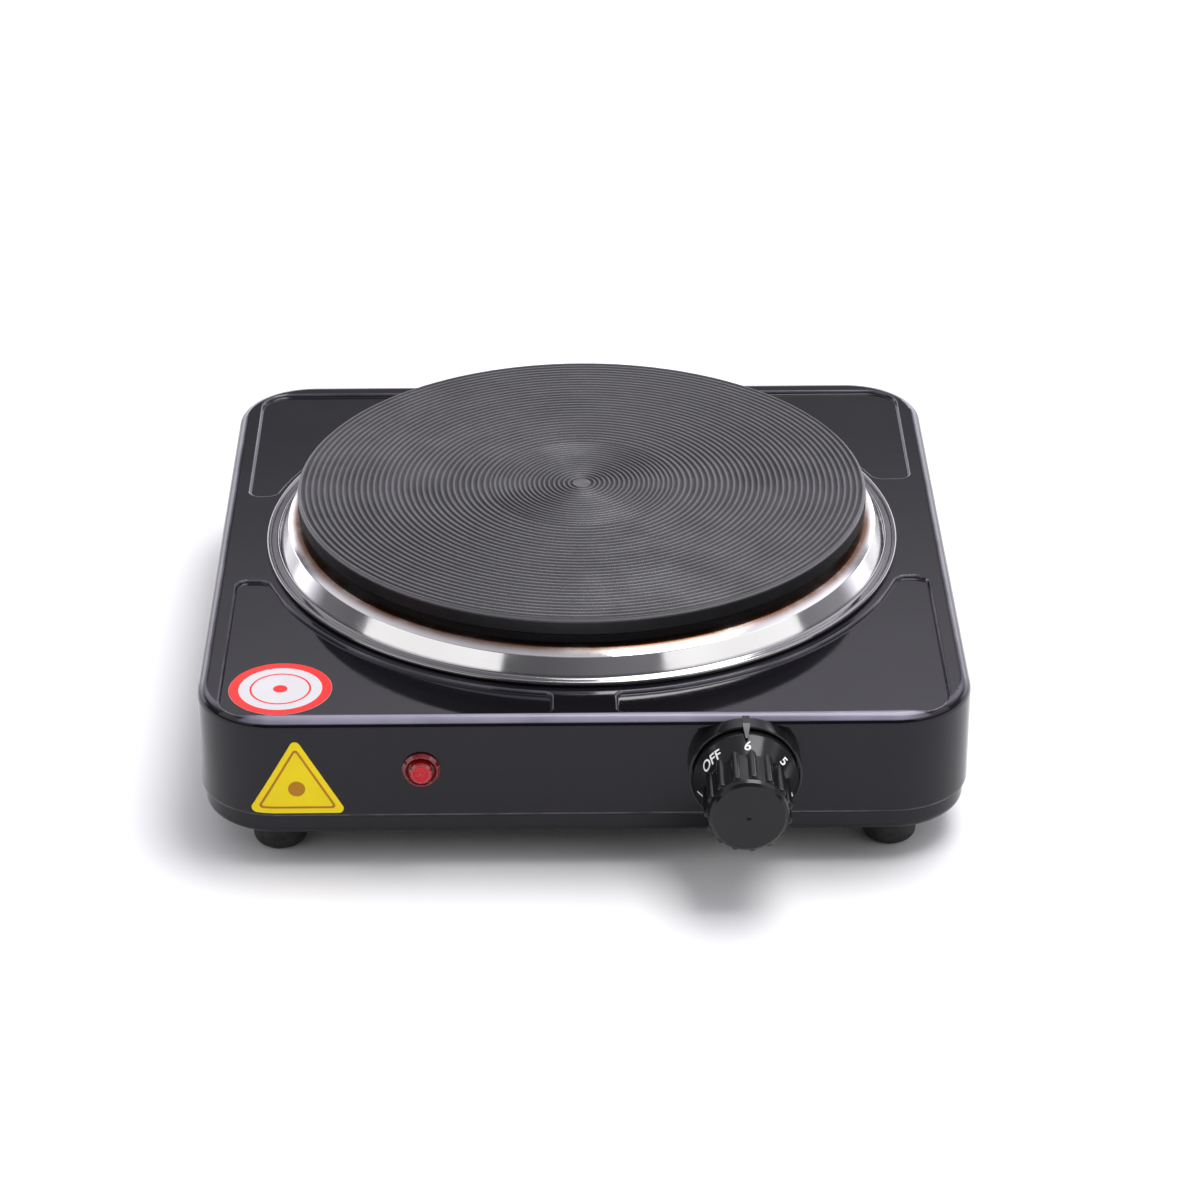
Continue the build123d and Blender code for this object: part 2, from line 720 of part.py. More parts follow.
def knob_ribs():
    """Round ribs along the grip."""
    length = knob_reach - 2.2 - rib_start
    rib = Pos(knob_grip_radius - rib_radius, 0, rib_start + length / 2) * Cylinder(rib_radius, length)
    rib = fillet(rib.faces().sort_by(Axis.Z)[-1].edges(), rib_radius / 2)
    place = front_plane(knob_x).location
    return [place * (Rot(0, 0, 360 * (count + 0.5) / knob_flutes) * rib) for count in range(knob_flutes)]


def make_knob():
    knob = turned_front(knob_x, knob_outside())
    for rib in knob_ribs():
        knob += rib
    knob -= turned_front(knob_x, knob_inside())
    hub_front, hub_rear = front_face - knob_reach + knob_cap / 2, front_face - hub_start
    hub_tip = front_face - hub_end
    knob += rod_y(knob_x, z_control, hub_front, hub_rear, hub_radius)
    side = spindle_radius + 1
    bore = rod_y(knob_x, z_control, hub_tip, front_face, spindle_radius + contact_gap)
    flat_z = z_control - spindle_flat - contact_gap
    flat = block(knob_x - side, knob_x + side, hub_tip, front_face, z_control - side, flat_z)
    half = clip_half_width + clip_play
    slot_z = flat_z - clip_sheet - contact_gap
    slot = block(knob_x - half, knob_x + half, hub_tip, front_face, slot_z, z_control)
    slot &= rod_y(knob_x, z_control, hub_tip, front_face, hub_radius - hub_slot_wall)
    return knob - (bore - flat) - slot


def make_knob_clip():
    """Flat spring that grips the spindle's flat."""
    low = z_control - spindle_flat - clip_sheet - contact_gap
    front, rear = front_face - hub_end + 1.0, front_face - hub_start - 0.5
    return block(knob_x - clip_half_width, knob_x + clip_half_width, front, rear, low, low + clip_sheet)


def make_spindle():
    front = front_face - hub_end + spindle_gap
    shaft = rod_y(knob_x, z_control, front, spindle_end, spindle_radius)
    shaft = chamfer(shaft.faces().sort_by(Axis.Y)[0].edges(), spindle_chamfer)
    side = spindle_radius + 1
    flat_z = z_control - spindle_flat
    shaft -= block(knob_x - side, knob_x + side, front - 1, front_face - hub_start, z_control - side, flat_z)
    groove = rod_y(knob_x, z_control, circlip_y, circlip_y + circlip_sheet + 0.1, side)
    groove -= rod_y(knob_x, z_control, circlip_y - 1, circlip_y + 2, spindle_radius - circlip_bite)
    return shaft - groove


def make_circlip():
    rear = circlip_y + contact_gap
    ring = rod_y(knob_x, z_control, rear, rear + circlip_sheet, spindle_radius + circlip_proud)
    inner = spindle_radius - circlip_bite + contact_gap
    ring -= rod_y(knob_x, z_control, circlip_y - 1, circlip_y + 2, inner)
    x0, x1 = knob_x - circlip_half_gap, knob_x + circlip_half_gap
    return ring - block(x0, x1, circlip_y - 1, circlip_y + 2, z_control, z_control + 2 * spindle_radius)


def make_bush():
    bush = rod_y(knob_x, z_control, bush_front, bracket_rear, bush_radius)
    bush += hexagon_y(knob_x, z_control, bracket_rear, bush_rear, bush_hexagon)
    bush -= rod_y(knob_x, z_control, bush_front - 1, spindle_end + 0.1, spindle_radius + screw_play)
    return bush - rod_y(knob_x, z_control, bush_front, bush_rear + 1, slide_pin_radius + screw_play)


def make_bush_nut():
    front = front_face - bezel_floor - bush_nut_height
    nut = hexagon_y(knob_x, z_control, front, front_face - bezel_floor, bush_hexagon)
    return nut - rod_y(knob_x, z_control, front - 1, front_face, bush_radius + screw_play)


def make_slide_pin():
    """Ceramic pin between the spindle and the contact arm, with a domed tip."""
    tip = arm_y - contact_gap
    pin = rod_y(knob_x, z_control, spindle_end + 0.2, tip - slide_pin_radius, slide_pin_radius)
    return pin + Pos(knob_x, tip - slide_pin_radius, z_control) * Sphere(slide_pin_radius)


def rivet_hole(y0, y1):
    return rod_y(stack_x, z_control, y0 - 1, y1 + 1, rivet_radius + screw_play)


def strip_y(x0, x1, y0, thickness, half_width):
    """Upright strip parallel to the front face, with the stack's rivet hole."""
    strip = block(x0, x1, y0, y0 + thickness, z_control - half_width, z_control + half_width)
    return strip - rivet_hole(y0, y0 + thickness)


def make_thermostat_bracket():
    x0, x1 = stack_x - bracket_overhang, knob_x + bracket_overhang + 2
    plate = strip_y(x0, x1, front_inner, bracket_thickness, bracket_half_height)
    return plate - rod_y(knob_x, z_control, front_inner - 1, bracket_rear + 1, bush_radius + screw_play)


def make_thermostat_insulators():
    levels = [(bracket_rear, fixed_y), (fixed_y + leaf_sheet, arm_y), (arm_y + leaf_sheet, bimetal_y)]
    levels.append((bimetal_y + bimetal_sheet, stack_end))
    discs = []
    for y0, y1 in levels:
        discs.append(rod_y(stack_x, z_control, y0, y1, stack_radius) - rivet_hole(y0, y1))
    return joined(*discs)


def make_thermostat_rivet():
    shank = rod_y(stack_x, z_control, front_inner + 0.2, stack_end, rivet_radius)
    return shank + rod_y(stack_x, z_control, stack_end, stack_end + 1, rivet_radius + rivet_head)


def make_fixed_leaf():
    leaf = strip_y(stack_x - tab_reach - 6, arm_end, fixed_y, leaf_sheet, leaf_half_width)
    return leaf - rod_y(knob_x, z_control, fixed_y - 1, fixed_y + 2, slide_pin_radius + 1.2)


def make_fixed_contact():
    front, rear = fixed_y + leaf_sheet, arm_y - contact_height - contact_gap
    return rod_y(contact_x, z_control, front, rear, contact_radius)


def make_arm_terminal():
    return strip_y(stack_x - tab_reach, hinge_x - hinge_gap, arm_y, leaf_sheet, leaf_half_width)


def make_contact_arm():
    z0, z1 = z_control - leaf_half_width, z_control + leaf_half_width
    return block(hinge_x + hinge_gap, arm_end, arm_y, arm_y + leaf_sheet, z0, z1)


def make_moving_contact():
    return rod_y(contact_x, z_control, arm_y - contact_height, arm_y, contact_radius)


def make_bimetal():
    return strip_y(stack_x - stack_radius, knob_x + 8, bimetal_y, bimetal_sheet, leaf_half_width)


# ---------------------------------------------------------------- pilot lamp
def make_lamp_lens():
    flange, dome, barrel = lamp_flange_radius, lamp_dome_radius, lamp_barrel_radius
    bore = barrel - lamp_wall
    profile = [(bore, -lamp_length), (barrel, -lamp_length), (barrel, 0), (flange, 0), (flange, 0.7)]
    profile += [(flange - 0.7, 1.5), (flange - 1.0, 1.5), (dome + 0.2, 0.9), (dome, 1.0)]
    profile += [(dome, lamp_reach - 0.9), (dome - 0.5, lamp_reach - 0.3), (0, lamp_reach), (0, 0.9)]
    profile += [(bore, 0.2)]
    return turned_front(lamp_x, profile)


def make_lamp_bulb():
    radius = lamp_barrel_radius - lamp_wall - 0.4
    dome_y = front_face + 1.0 + radius
    bulb = rod_y(lamp_x, z_control, dome_y, front_face + lamp_length, radius)
    bulb += Pos(lamp_x, dome_y, z_control) * Sphere(radius)
    for side in (-1, 1):
        bulb += rod_y(lamp_x + side * 1.2, z_control, front_face + lamp_length, lamp_lead_y, 0.3)
    return bulb


def make_lamp_retainer():
    """Push-on spring nut behind the front wall."""
    outer = lamp_barrel_radius + lamp_retainer_width
    nut = rod_y(lamp_x, z_control, front_inner, front_inner + 0.8, outer)
    return nut - rod_y(lamp_x, z_control, front_inner - 1, front_inner + 2, lamp_barrel_radius + screw_play)


def make_lamp_resistor():
    """Series resistor in its heat-shrink sleeve on one lamp wire."""
    return rod_y(lamp_x + 1.2, z_control, lamp_lead_y, lamp_lead_y + 9, 1.1)


# ---------------------------------------------------------------- mains entry
def make_terminal_block():
    x0, x1 = gland_x - block_half_length, gland_x + block_half_length
    y0, y1 = block_y - block_half_width, block_y + block_half_width
    top = z_floor + block_height + 1
    body = block(x0, x1, y0, y1, z_floor, z_floor + block_height)
    body = fillet(body.edges().filter_by(Axis.Z), block_corner)
    for pole in (-1, 0, 1):
        x = gland_x + pole * pole_pitch
        body -= rod_y(x, z_pole, y0 - 1, y1 + 1, clamp_radius + screw_play)
        for side in (-1, 1):
            body -= post(x, block_y + side * clamp_screw_pitch, z_pole, top, clamp_screw_radius + 0.1)
    for x, y in block_screw_places:
        body -= post(x, y, z_floor - 1, top, block_screw_radius + screw_play)
        body -= post(x, y, z_floor + block_screw_seat, top, block_head_radius + loose_play)
    return body


def make_terminal_clamps():
    """Brass clamp tubes, one per pole."""
    clamps = []
    for pole in (-1, 0, 1):
        x = gland_x + pole * pole_pitch
        end = block_half_width - 0.5
        tube = rod_y(x, z_pole, block_y - end, block_y + end, clamp_radius)
        tube -= rod_y(x, z_pole, block_y - end - 1, block_y + end + 1, clamp_radius - clamp_wall)
        for side in (-1, 1):
            y = block_y + side * clamp_screw_pitch
            tube -= post(x, y, z_pole, z_pole + 10, clamp_screw_radius + 0.1)
        clamps.append(tube)
    return joined(*clamps)


def make_terminal_screws():
    screws = []
    for pole in (-1, 0, 1):
        for side in (-1, 1):
            x, y = gland_x + pole * pole_pitch, block_y + side * clamp_screw_pitch
            screw = post(x, y, z_pole + 0.5, z_pole + 7, clamp_screw_radius)
            screws.append(screw - block(x - 3, x + 3, y - 0.3, y + 0.3, z_pole + 6, z_pole + 8))
    return joined(*screws)


def make_block_screws():
    screws = []
    for x, y in block_screw_places:
        seat = z_floor + block_screw_seat
        screw = post(x, y, z_base - 0.5, seat, block_screw_radius)
        head_top = seat + block_head_height
        head = post(x, y, seat, head_top, block_head_radius)
        screws.append(screw + head - block(x - 2, x + 2, y - 0.4, y + 0.4, head_top - 0.8, head_top + cut_past))
    return joined(*screws)


def make_cord_gland():
    """Two-flange bushing through the rear wall, with a bell mouth outside."""
    tail_end, inner_flange = rear_inner - gland_inner_flange - gland_tail, rear_inner - gland_inner_flange
    outer_flange, mouth = rear_face + gland_outer_flange, rear_face + gland_reach
    tube_radius = gland_neck_radius - gland_tube_step
    gland = rod_y(gland_x, z_control, inner_flange, rear_inner, gland_radius - gland_inner_step)
    gland += rod_y(gland_x, z_control, rear_inner, rear_face, gland_neck_radius)
    outer = rod_y(gland_x, z_control, rear_face, outer_flange, gland_radius)
    gland += fillet(outer.faces().sort_by(Axis.Y)[-1].edges(), gland_rounding)
    gland += rod_y(gland_x, z_control, outer_flange, mouth, tube_radius)
    gland += rod_y(gland_x, z_control, tail_end, inner_flange, tube_radius)
    bore = rod_y(gland_x, z_control, tail_end - cut_past, mouth + cut_past, gland_bore_radius)
    return gland - bore


def make_earth_tag():
    x0, x1 = earth_x - tag_length, earth_x + tag_half_width
    y0, y1 = earth_y - tag_half_width, earth_y + tag_half_width
    tag = block(x0, x1, y0, y1, z_floor, z_floor + tag_sheet)
    return tag - post(earth_x, earth_y, z_floor - 1, z_floor + 2, block_screw_radius + screw_play)


def make_earth_screw():
    seat = z_floor + tag_sheet
    screw = post(earth_x, earth_y, z_floor, seat, block_screw_radius)
    return screw + hexagon_z(earth_x, earth_y, seat, seat + earth_head_height, earth_head_across)


# ---------------------------------------------------------------- labels
def make_front_label():
    """Triangular sticker on the front, left of the lamp, bent round the corner with the wall."""
    outline = Polyline((-label_width / 2, 0), (label_width / 2, 0), (0, label_height), close=True)
    face = fillet(make_face(outline).vertices(), label_corner)
    origin = (label_x, front_face, z_seam + label_rise)
    plane = Plane(origin=origin, x_dir=(1, 0, 0), z_dir=(0, -1, 0))
    skin = tray_block(-label_thickness, z_seam, z_top, top_edge_radius)
    skin -= tray_block(0, z_seam, z_top, top_edge_radius)
    return skin & extrude(plane * face, corner_radius / 2, both=True)


def make_panel_label():
    """Round sticker in the front left panel."""
    z = z_top - panel_depth
    return post(panel_label_x, panel_label_y, z, z + label_thickness, panel_label_radius)


# ---------------------------------------------------------------- coil links and internal leads
def coil_end(radius, side):
    """Left (0) or right (1) end of one coil."""
    return sorted(coil_pins(radius))[side]


def link_middle(side):
    """Middle of the strap that joins the two coils' ends on one side."""
    inner, outer = [coil_end(radius, side) for radius in coil_radii]
    return (inner[0] + outer[0]) / 2, (inner[1] + outer[1]) / 2


def make_coil_links():
    """Two brass straps between the sleeves, one on each side of the ceramic block."""
    straps = []
    for side in (0, 1):
        ends = [coil_end(radius, side) for radius in coil_radii]
        x, y = link_middle(side)
        length = math.dist(*ends)
        angle = math.degrees(math.atan2(ends[1][1] - ends[0][1], ends[1][0] - ends[0][0]))
        strap = Pos(x, y, link_z) * Rot(0, 0, angle) * Box(length, 3.5, link_sheet)
        for px, py in ends:
            strap -= post(px, py, pin_end - 5, pin_end + 5, sleeve_radius)
        straps.append(strap)
    return joined(*straps)


def make_live_lead():
    x, z = gland_x - pole_pitch, z_pole
    tab_x, tab_y = stack_x - tab_reach - 6, fixed_y + leaf_sheet / 2
    points = [(x, block_y - lead_start, z), (x, block_y - 60, z), (x + 1, front_face + 60, z)]
    points += [(x + 30, front_face + 24, z + 5), (tab_x - 28, tab_y, z_control), (tab_x, tab_y, z_control)]
    return lead(points)


def make_neutral_lead():
    x, z = gland_x + pole_pitch, z_pole
    pin_x, pin_y = coil_end(coil_radii[1], 1)
    points = [(x, block_y - lead_start, z), (x, block_y - 45, z), (x + 28, pin_y + 30, z + 2)]
    points += [(pin_x, pin_y, z + 6), (pin_x, pin_y, pin_end)]
    return lead(points)


def make_heating_lead():
    """From the thermostat's arm to the coils."""
    tab_x, tab_y = stack_x - tab_reach, arm_y + leaf_sheet / 2
    pin_x, pin_y = coil_end(coil_radii[1], 0)
    points = [(tab_x, tab_y, z_control), (tab_x - 12, tab_y, z_control), (tab_x - 19, tab_y + 12, z_floor + 15)]
    points += [(pin_x, pin_y, z_floor + 13), (pin_x, pin_y, pin_end)]
    return lead(points)


def make_earth_lead():
    x, z = gland_x, z_pole
    end_x, end_z = earth_x - tag_length, z_floor + lead_radius + 0.05
    points = [(x, block_y - lead_start, z), (x, block_y - 22, z), (x + 14, earth_y - 13, z - 3)]
    points += [(end_x - 10, earth_y, end_z), (end_x, earth_y, end_z)]
    return lead(points)


def make_lamp_leads():
    """One from the resistor and one from the bulb, to the two coil links."""
    z_link = link_z - link_sheet / 2
    left, right = link_middle(0), link_middle(1)
    first = [(lamp_x + 1.2, lamp_lead_y + 9, z_control), (lamp_x + 1.2, lamp_lead_y + 21, z_control)]
    first += [(lamp_x + 15, left[1] - 8, z_control - 0.5), (*left, z_control - 1), (*left, z_link)]
    second = [(lamp_x - 1.2, lamp_lead_y, z_control), (lamp_x - 2.4, lamp_lead_y + 16, z_control - 5)]
    second += [(lamp_x + 12, right[1] - 3, z_control - 8), (*right, z_control - 8), (*right, z_link)]
    return joined(lead(first), lead(second))


# ---------------------------------------------------------------- the whole object
def make_parts():
    return {
        "housing": make_housing(),
        "base_tray": make_base_tray(),
        "corner_brackets": make_corner_brackets(),
        "feet": make_feet(),
        "foot_screws": make_foot_screws(),
        "hot_plate": make_hot_plate(),
        "coil_inner": make_coil(coil_radii[0]),
        "coil_outer": make_coil(coil_radii[1]),
        "coil_insulation": make_insulation(),
        "plate_cover": make_plate_cover(),
        "trim_ring": make_trim_ring(),
        "plate_stud": make_plate_stud(),
        "clamp_bridge": make_clamp_bridge(),
        "heat_shield": make_heat_shield(),
        "stud_washer": make_stud_washer(),
        "stud_nut": make_stud_nut(),
        "plate_terminal_block": make_plate_terminal_block(),
        "plate_terminals": make_plate_terminals(),
        "coil_links": make_coil_links(),
        "knob_bezel": make_bezel(),
        "knob": make_knob(),
        "knob_clip": make_knob_clip(),
        "spindle": make_spindle(),
        "spindle_circlip": make_circlip(),
        "thermostat_bush": make_bush(),
        "bush_nut": make_bush_nut(),
        "thermostat_bracket": make_thermostat_bracket(),
        "thermostat_insulators": make_thermostat_insulators(),
        "thermostat_rivet": make_thermostat_rivet(),
        "thermostat_pin": make_slide_pin(),
        "fixed_leaf": make_fixed_leaf(),
        "fixed_contact": make_fixed_contact(),
        "arm_terminal": make_arm_terminal(),
        "contact_arm": make_contact_arm(),
        "moving_contact": make_moving_contact(),
        "bimetal_strip": make_bimetal(),
        "pilot_lens": make_lamp_lens(),
        "pilot_bulb": make_lamp_bulb(),
        "pilot_retainer": make_lamp_retainer(),
        "pilot_resistor": make_lamp_resistor(),
        "mains_terminal_block": make_terminal_block(),
        "terminal_clamps": make_terminal_clamps(),
        "terminal_screws": make_terminal_screws(),
        "block_screws": make_block_screws(),
        "cord_gland": make_cord_gland(),
        "earth_tag": make_earth_tag(),
        "earth_screw": make_earth_screw(),
        "lead_live": make_live_lead(),
        "lead_neutral": make_neutral_lead(),
        "lead_heating": make_heating_lead(),
        "lead_earth": make_earth_lead(),
        "lamp_leads": make_lamp_leads(),
        "front_label": make_front_label(),
        "panel_label": make_panel_label(),
    }


os.makedirs("parts", exist_ok=True)
for node, shape in make_parts().items():
    export_step(Pos(0, shift_y, 0) * shape, f"parts/{node}.step")
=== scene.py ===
import json
import math

import bpy
from mathutils import Matrix, Vector


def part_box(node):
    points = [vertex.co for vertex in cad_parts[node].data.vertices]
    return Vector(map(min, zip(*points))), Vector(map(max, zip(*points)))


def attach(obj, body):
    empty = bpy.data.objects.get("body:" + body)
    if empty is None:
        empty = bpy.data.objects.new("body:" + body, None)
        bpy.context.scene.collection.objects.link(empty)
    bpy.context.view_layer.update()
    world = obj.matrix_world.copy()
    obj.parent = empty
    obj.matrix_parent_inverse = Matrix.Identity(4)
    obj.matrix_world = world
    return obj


# Looks for a single electric hot plate: finishes for every CAD piece, the dial's marks and the two
# stickers' print, and a plain soft studio. Metres, in the CAD model's frame.
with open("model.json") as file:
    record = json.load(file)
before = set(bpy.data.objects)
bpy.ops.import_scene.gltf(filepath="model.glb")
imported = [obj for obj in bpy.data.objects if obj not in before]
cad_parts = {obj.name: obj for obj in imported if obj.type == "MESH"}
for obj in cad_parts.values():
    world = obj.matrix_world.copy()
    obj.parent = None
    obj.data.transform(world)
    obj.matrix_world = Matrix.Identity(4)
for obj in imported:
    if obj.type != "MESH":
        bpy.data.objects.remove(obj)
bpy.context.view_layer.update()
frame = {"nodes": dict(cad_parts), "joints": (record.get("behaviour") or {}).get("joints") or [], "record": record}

MM = 0.001

# ---------------------------------------------------------------- places, read from the frame
plate_low, plate_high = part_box("hot_plate")
ring_low, ring_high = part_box("trim_ring")
body_low, body_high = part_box("housing")
tray_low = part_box("base_tray")[0]
lens_low, lens_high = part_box("pilot_lens")
label_low, label_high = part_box("front_label")
disc_low, disc_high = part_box("panel_label")
plate_axis = (plate_low + plate_high) / 2
disc_centre = (disc_low + disc_high) / 2
disc_radius = (disc_high.x - disc_low.x) / 2
knob_joint = next(j for j in frame["joints"] if j["name"] == "knob_turn")
knob_origin = Vector(knob_joint["pos_m"])
plate_rim = (plate_high.x - plate_low.x) / 2
ring_rim = (ring_high.x - ring_low.x) / 2
lamp_centre = (lens_low + lens_high) / 2
label_middle = (label_low.x + label_high.x) / 2
label_thickness = body_low.y - label_low.y

# the body's corner, the plate's grooves, the lens's middle and the knob's cone, as the CAD has them
CORNER_RADIUS = 25 * MM
GROOVE_DEPTH = 0.32 * MM
LENS_MIDDLE = 3.3 * MM
CONE_REAR = (15.4 * MM, 8.6 * MM)      # radius and distance in front of the body
CONE_FRONT = (12.4 * MM, 13.6 * MM)

# print on the dial
PRINT_THICKNESS = 0.04 * MM
MARK_HEIGHT = 2.9 * MM
DIGIT_SIZE = 1.5 * MARK_HEIGHT
WORD_SIZE = 1.55 * MARK_HEIGHT
STROKE_GROWTH = 0.06 * MM
MARK_SLANT = 0.2
DIAL_MARKS = ("6", "5", "4", "3", "2", "1", "OFF")

# print on the triangular sticker, whose sharp outline reaches past its rounded corners
LABEL_SIDE_REACH = 1.15 * MM
LABEL_TOP_REACH = 1.65 * MM
LABEL_LINE = ((1.7 * MM, 1.0 * MM), (2.4 * MM, 0.5 * MM))   # inset and corner radius of both its edges
LABEL_DOT_HEIGHT = 8.6 * MM
LABEL_DOT_RADIUS = 2.6 * MM
LABEL_STEPS = 24                       # points along each side, so that the line follows the body's corner

# print on the round sticker, as insets from its edge
DISC_EDGE = (0.05 * MM, 3.0 * MM)
DISC_RING = (6.4 * MM, 7.0 * MM)
DISC_DOT_RADIUS = 2.2 * MM
DOT_POINTS = 48

# knurl on the lens
KNURL_PITCH = 0.8 * MM
KNURL_HEIGHT = 0.3 * MM
KNURL_HALF = 0.36 * KNURL_PITCH
KNURL_REACH = LENS_MIDDLE - 0.25 * MM

# camera
CAMERA_PLACE = (-0.00589, -1.10068, 0.63443)
CAMERA_PITCH = 28.576
CAMERA_YAW = 0.605
CAMERA_ROLL = -0.13
CAMERA_LENS = 115.05
SENSOR_WIDTH = 36

# light: watts, places and sizes of the boxes, and the room's strength towards each side
TOP_POWER = 25
TOP_PLACE = (0.42, 0.16, 1.65)
TOP_SIZE = (1.2, 0.8)
SIDE_POWER = 5
SIDE_PLACE = (1.25, -0.75, 0.75)
SIDE_TARGET = (0, 0, 0.05)
SIDE_SIZE = (1.5, 0.9)
WORLD_COLOUR = (0.94, 0.92, 1.0, 1)
WORLD_FRONT, WORLD_REAR = 0.1, 0.8
WORLD_LEFT, WORLD_RIGHT = 0.65, 1.1
WORLD_LOW, WORLD_HIGH = 0.5, 2.1       # below and above the height that the flat top mirrors
WORLD_HORIZON = 2.2                    # extra strength of the bright backdrop low behind
DEPTH_SPAN = (-0.9, 0.7)               # directions over which each of these strengths changes
ACROSS_SPAN = (-0.3, 0.3)
HEIGHT_SPAN = (0.42, 0.53)
HORIZON_SPAN = (0.34, 0.26)
BACKDROP_SPAN = (0.3, 0.6)

# half the floor's width
FLOOR_HALF = 6.0


# ---------------------------------------------------------------- finishes
class Finish:
    """A material built from a Principled shader, with short calls for the nodes round it."""

    def __init__(self, name, colour, roughness, metallic=0.0, **sockets):
        self.name = name
        self.material = bpy.data.materials.new(name)
        self.material.use_nodes = True
        self.tree = self.material.node_tree
        self.shader = self.tree.nodes["Principled BSDF"]
        self.put(self.shader, "Base Color", (*colour, 1.0))
        self.put(self.shader, "Roughness", roughness)
        self.put(self.shader, "Metallic", metallic)
        for socket, value in sockets.items():
            self.put(self.shader, socket.replace("_", " ").title().replace("Ior", "IOR"), value)
        self.place = self.node("ShaderNodeTexCoord").outputs["Object"]

    def put(self, node, socket, value):
        """Sets a socket, or links it when the value is another node's output."""
        if isinstance(value, bpy.types.NodeSocket):
            self.tree.links.new(value, node.inputs[socket])
        else:
            node.inputs[socket].default_value = value

    def node(self, kind, inputs=(), **settings):
        made = self.tree.nodes.new(kind)
        for name, value in settings.items():
            setattr(made, name, value)
        for socket, value in dict(inputs).items():
            self.put(made, socket, value)
        return made

    def math(self, operation, a, b=0.0):
        return self.node("ShaderNodeMath", {0: a, 1: b}, operation=operation).outputs[0]

    def noise(self, scale, detail=4.0, roughness=0.55, stretch=None):
        """Noise in object space; scale is in features per metre."""
        place = self.place
        if stretch:
            place = self.node("ShaderNodeMapping", {"Vector": place, "Scale": stretch}).outputs[0]
        inputs = {"Vector": place, "Scale": scale, "Detail": detail, "Roughness": roughness}
        return self.node("ShaderNodeTexNoise", inputs).outputs["Fac"]

    def span(self, value, low, high, to_low=0.0, to_high=1.0):
        """Maps low..high to to_low..to_high, smoothly and clamped."""
        inputs = {"Value": value, "From Min": low, "From Max": high, "To Min": to_low, "To Max": to_high}
        return self.node("ShaderNodeMapRange", inputs, interpolation_type="SMOOTHSTEP").outputs[0]

    def mix(self, factor, a, b):
        mixer = self.node("ShaderNodeMix", {"Factor": factor}, data_type="RGBA")
        for socket, value in ((mixer.inputs[6], a), (mixer.inputs[7], b)):
            if isinstance(value, bpy.types.NodeSocket):
                self.tree.links.new(value, socket)
            else:
                socket.default_value = (*value, 1.0)
        return mixer.outputs[2]

    def radius_from(self, centre, across=(1, 1, 0)):
        """Distance from an axis, which is vertical unless across names two other directions."""
        away = self.node("ShaderNodeVectorMath", {0: self.place, 1: centre}, operation="SUBTRACT").outputs[0]
        flat = self.node("ShaderNodeVectorMath", {0: away, 1: across}, operation="MULTIPLY").outputs[0]
        return self.node("ShaderNodeVectorMath", {0: flat}, operation="LENGTH").outputs["Value"]

    def axis(self, index):
        return self.node("ShaderNodeSeparateXYZ", {0: self.place}).outputs[index]

    def colour(self, value):
        self.put(self.shader, "Base Color", value)

    def rough(self, value):
        self.put(self.shader, "Roughness", value)

    def bump(self, height, strength, distance):
        inputs = {"Height": height, "Strength": strength, "Distance": distance}
        if self.shader.inputs["Normal"].is_linked:
            inputs["Normal"] = self.shader.inputs["Normal"].links[0].from_socket
        self.put(self.shader, "Normal", self.node("ShaderNodeBump", inputs).outputs[0])


